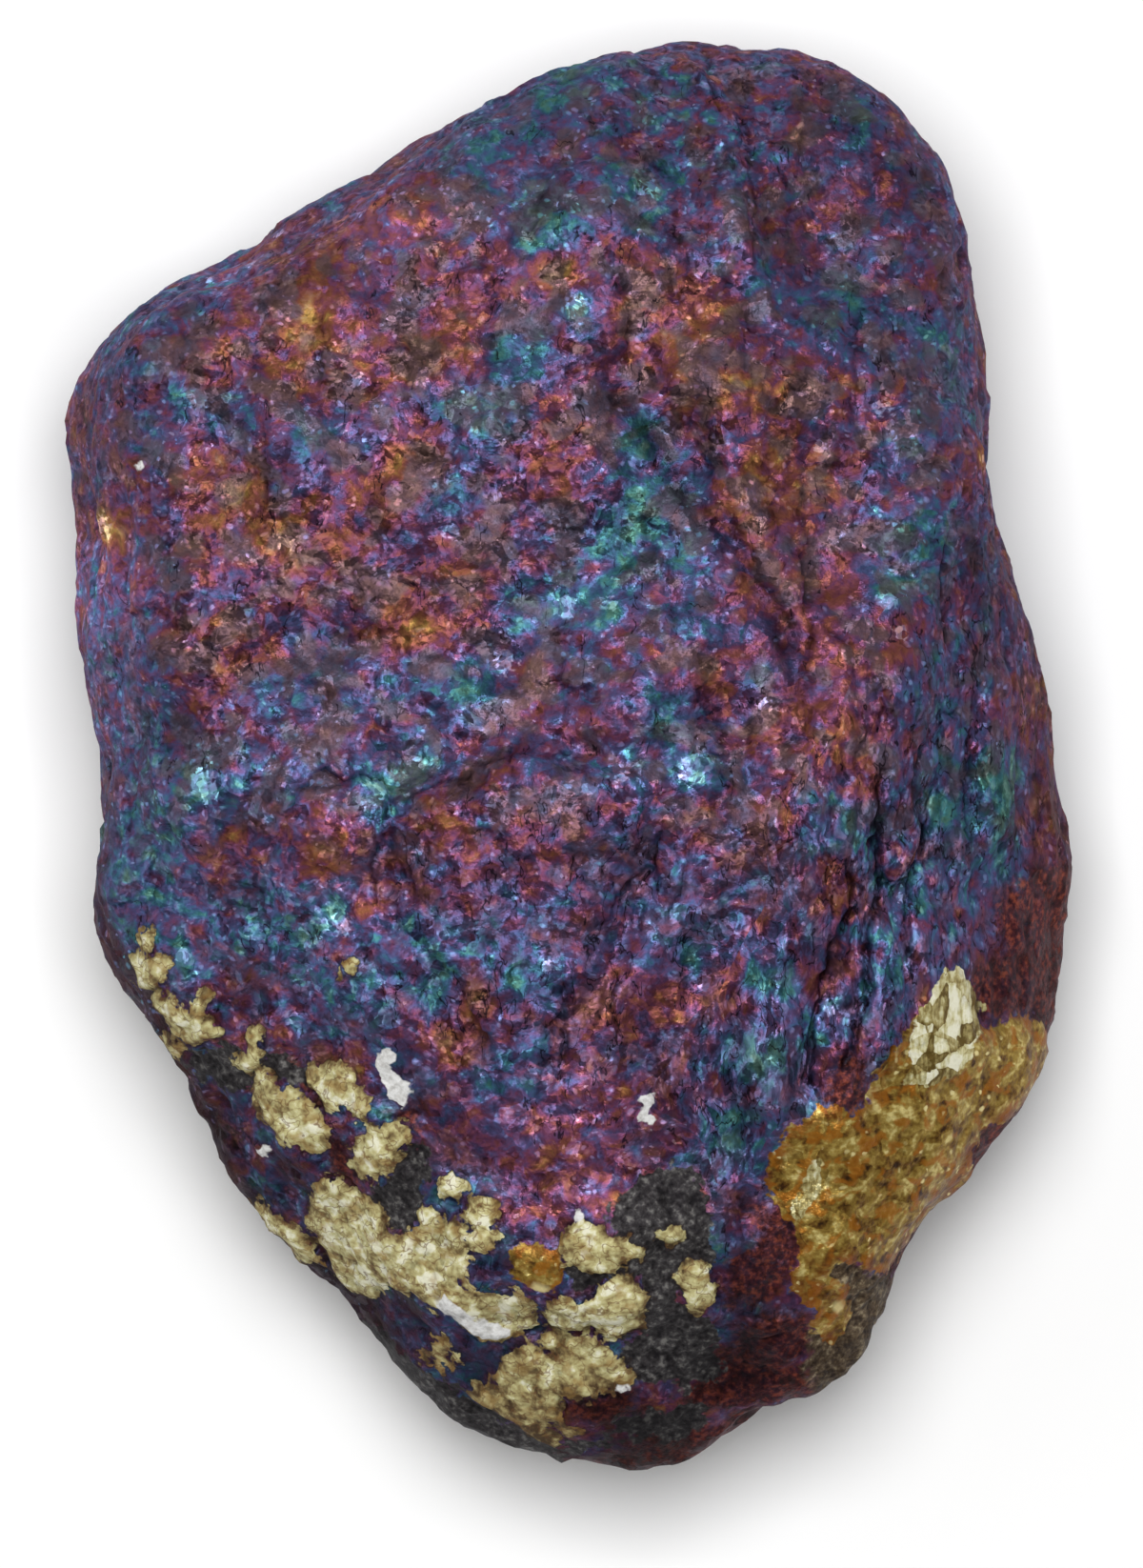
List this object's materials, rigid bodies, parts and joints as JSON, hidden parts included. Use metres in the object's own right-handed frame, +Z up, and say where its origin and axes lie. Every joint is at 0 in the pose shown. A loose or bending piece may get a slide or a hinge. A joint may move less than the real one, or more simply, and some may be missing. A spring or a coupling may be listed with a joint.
{
  "type": "peacock ore specimen",
  "caption": "Rough hand specimen of peacock ore: a rounded, broken stone of iridescent copper ore with pale matrix grains and a brassy patch, resting on a small flat spot.",
  "frame": {"origin": "middle of the stone's outline seen from above, at the level of the flat spot it rests on", "axes": "+Z up, +Y along the stone's long way towards its rounded dark shoulder, +X towards the side with the brassy patch"},
  "size_m": [0.053, 0.075, 0.033],
  "materials": {
    "ore": "hackly iridescent tarnish in purple, blue, teal, magenta and copper, with pale yellow matrix grains and a brassy patch"
  },
  "bodies": {
    "root": {"ore": "ore"}
  },
  "joints": []
}
